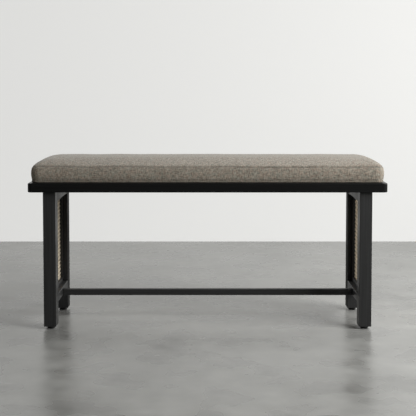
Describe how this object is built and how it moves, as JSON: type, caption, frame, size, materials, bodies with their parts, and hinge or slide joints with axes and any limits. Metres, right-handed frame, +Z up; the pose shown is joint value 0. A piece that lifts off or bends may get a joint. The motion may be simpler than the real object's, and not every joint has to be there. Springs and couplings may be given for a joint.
{
  "type": "entryway bench",
  "caption": "Long narrow bench with a crowned box cushion on a slim black frame, square legs, woven cane panels in both ends and a low centre stretcher",
  "frame": {"origin": "on the floor, under the middle of the bench, at the bottom centre of its bounding box", "axes": "+X runs along the bench to the right, +Y runs from the front to the rear, +Z is up"},
  "size_m": [1.066, 0.33, 0.5073],
  "materials": {
    "painted_wood": "black satin paint over wood, grain faintly visible",
    "plywood": "bare sanded plywood",
    "cane": "natural woven rattan cane, satin",
    "fabric": "taupe grey linen weave with slubs, matt",
    "foam": "open cell foam",
    "tape": "woven nylon tape",
    "steel": "zinc plated steel",
    "foot_plastic": "moulded black nylon"
  },
  "bodies": {
    "root": {"cane_frame_bottom_left": "painted_wood", "cane_frame_bottom_right": "painted_wood", "cane_frame_front_left": "painted_wood", "cane_frame_front_right": "painted_wood", "cane_frame_rear_left": "painted_wood", "cane_frame_rear_right": "painted_wood", "cane_frame_top_left": "painted_wood", "cane_frame_top_right": "painted_wood", "cane_panel_left": "cane", "cane_panel_right": "cane", "cane_spline_left": "cane", "cane_spline_right": "cane", "deck_batten_left": "painted_wood", "deck_batten_right": "painted_wood", "foot_insert_front_left": "steel", "foot_insert_front_right": "steel", "foot_insert_rear_left": "steel", "foot_insert_rear_right": "steel", "frame_bolt_front_left": "steel", "frame_bolt_front_right": "steel", "frame_bolt_rear_left": "steel", "frame_bolt_rear_right": "steel", "leg_front_left": "painted_wood", "leg_front_right": "painted_wood", "leg_insert_front_left": "steel", "leg_insert_front_right": "steel", "leg_insert_rear_left": "steel", "leg_insert_rear_right": "steel", "leg_rear_left": "painted_wood", "leg_rear_right": "painted_wood", "lower_side_rail_left": "painted_wood", "lower_side_rail_right": "painted_wood", "seat_deck": "plywood", "seat_loop_left": "tape", "seat_loop_right": "tape", "seat_rail_front": "painted_wood", "seat_rail_left": "painted_wood", "seat_rail_rear": "painted_wood", "seat_rail_right": "painted_wood", "stretcher": "painted_wood", "stretcher_bolt_left": "steel", "stretcher_bolt_right": "steel", "stretcher_nut_left": "steel", "stretcher_nut_right": "steel", "upper_side_rail_left": "painted_wood", "upper_side_rail_right": "painted_wood"},
    "cushion": {"cushion_cover": "fabric", "cushion_foam": "foam", "cover_zip": "tape", "cushion_hook_left": "tape", "cushion_hook_right": "tape"},
    "zip_slider": {"zip_slider": "steel"},
    "foot_front_left": {"foot_pad_front_left": "foot_plastic"},
    "stem_front_left": {"foot_stem_front_left": "steel"},
    "foot_rear_left": {"foot_pad_rear_left": "foot_plastic"},
    "stem_rear_left": {"foot_stem_rear_left": "steel"},
    "foot_front_right": {"foot_pad_front_right": "foot_plastic"},
    "stem_front_right": {"foot_stem_front_right": "steel"},
    "foot_rear_right": {"foot_pad_rear_right": "foot_plastic"},
    "stem_rear_right": {"foot_stem_rear_right": "steel"}
  },
  "joints": [
    {"name": "cushion_lift", "type": "slide", "parent": "root", "child": "cushion", "axis": [0, 0, 1], "range_m": [0, 0.15]},
    {"name": "zip_travel", "type": "slide", "parent": "cushion", "child": "zip_slider", "axis": [-1, 0, 0], "range_m": [0, 0.87]},
    {"name": "foot_travel_front_left", "type": "slide", "parent": "root", "child": "foot_front_left", "axis": [0, 0, -1], "range_m": [0, 0.008]},
    {"name": "stem_turn_front_left", "type": "hinge", "parent": "foot_front_left", "child": "stem_front_left", "pos_m": [-0.47, -0.131, 0.02], "axis": [0, 0, -1], "range_deg": [0, 2310]},
    {"name": "foot_travel_rear_left", "type": "slide", "parent": "root", "child": "foot_rear_left", "axis": [0, 0, -1], "range_m": [0, 0.008]},
    {"name": "stem_turn_rear_left", "type": "hinge", "parent": "foot_rear_left", "child": "stem_rear_left", "pos_m": [-0.47, 0.131, 0.02], "axis": [0, 0, -1], "range_deg": [0, 2310]},
    {"name": "foot_travel_front_right", "type": "slide", "parent": "root", "child": "foot_front_right", "axis": [0, 0, -1], "range_m": [0, 0.008]},
    {"name": "stem_turn_front_right", "type": "hinge", "parent": "foot_front_right", "child": "stem_front_right", "pos_m": [0.47, -0.131, 0.02], "axis": [0, 0, -1], "range_deg": [0, 2310]},
    {"name": "foot_travel_rear_right", "type": "slide", "parent": "root", "child": "foot_rear_right", "axis": [0, 0, -1], "range_m": [0, 0.008]},
    {"name": "stem_turn_rear_right", "type": "hinge", "parent": "foot_rear_right", "child": "stem_rear_right", "pos_m": [0.47, 0.131, 0.02], "axis": [0, 0, -1], "range_deg": [0, 2310]}
  ],
  "couplings": [
    {"joint": "stem_turn_front_left", "follows": "foot_travel_front_left", "rad_per_m": 5026.5},
    {"joint": "stem_turn_rear_left", "follows": "foot_travel_rear_left", "rad_per_m": 5026.5},
    {"joint": "stem_turn_front_right", "follows": "foot_travel_front_right", "rad_per_m": 5026.5},
    {"joint": "stem_turn_rear_right", "follows": "foot_travel_rear_right", "rad_per_m": 5026.5}
  ]
}
